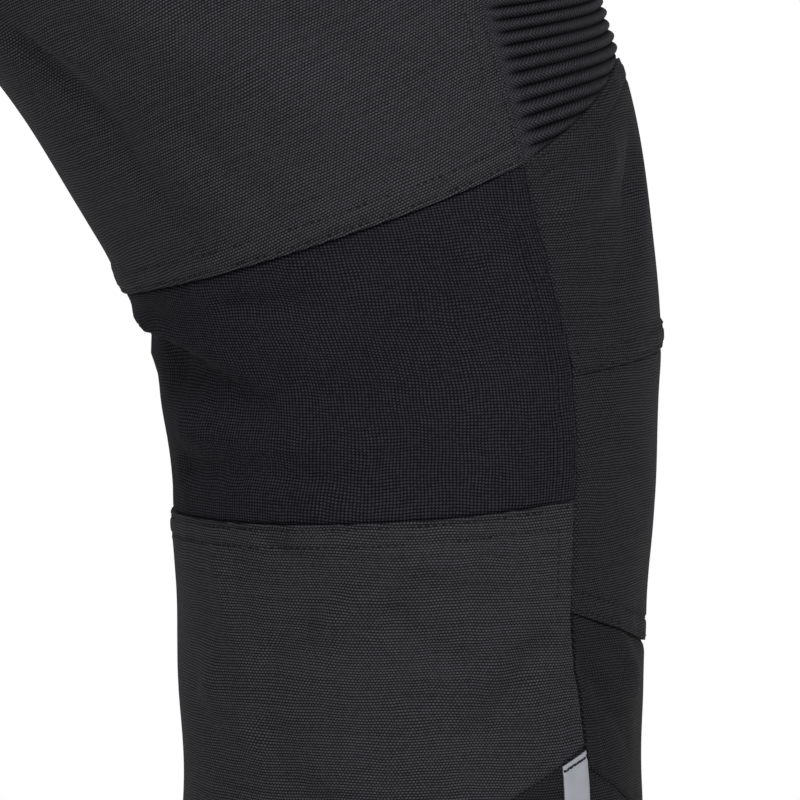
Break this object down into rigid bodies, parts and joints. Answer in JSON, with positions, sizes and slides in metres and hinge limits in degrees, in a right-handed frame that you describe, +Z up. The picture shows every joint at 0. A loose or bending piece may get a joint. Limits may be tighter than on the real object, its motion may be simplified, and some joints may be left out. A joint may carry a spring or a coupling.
{
  "type": "motorcycle trousers",
  "caption": "Textile motorcycle trousers, filled out with bent knees, with ribbed stretch over the knees, knit behind them and reflective side strips.",
  "frame": {"origin": "centre of the waist opening, where the wearer holds the garment up", "axes": "+Z up, -Y the way the wearer faces, right leg at -X, left leg at +X"},
  "size_m": [0.4304, 0.3932, 1.054],
  "materials": {
    "charcoal_cloth": "coarse plain weave, dull",
    "black_cloth": "coarse plain weave, dull",
    "ribbed_cloth": "raised cross ribs, dull",
    "stretch_knit": "fine knit, dull",
    "reflective_tape": "silver-grey, half matt",
    "stud_metal": "dark, half gloss"
  },
  "bodies": {
    "root": {"right_thigh_front": "charcoal_cloth", "right_thigh_back": "charcoal_cloth", "right_knee_stretch": "ribbed_cloth", "right_knee_upper": "black_cloth", "right_knee_lower": "black_cloth", "right_knee_back": "stretch_knit", "right_shin_front": "black_cloth", "right_calf_back": "charcoal_cloth", "right_cuff_front": "black_cloth", "right_cuff_back": "black_cloth", "right_reflective_strip": "reflective_tape", "left_thigh_front": "charcoal_cloth", "left_thigh_back": "charcoal_cloth", "left_knee_stretch": "ribbed_cloth", "left_knee_upper": "black_cloth", "left_knee_lower": "black_cloth", "left_knee_back": "stretch_knit", "left_shin_front": "black_cloth", "left_calf_back": "charcoal_cloth", "left_cuff_front": "black_cloth", "left_cuff_back": "black_cloth", "left_reflective_strip": "reflective_tape", "waistband": "charcoal_cloth", "fly_flap": "charcoal_cloth", "waist_tab": "charcoal_cloth", "press_stud": "stud_metal"}
  },
  "joints": []
}
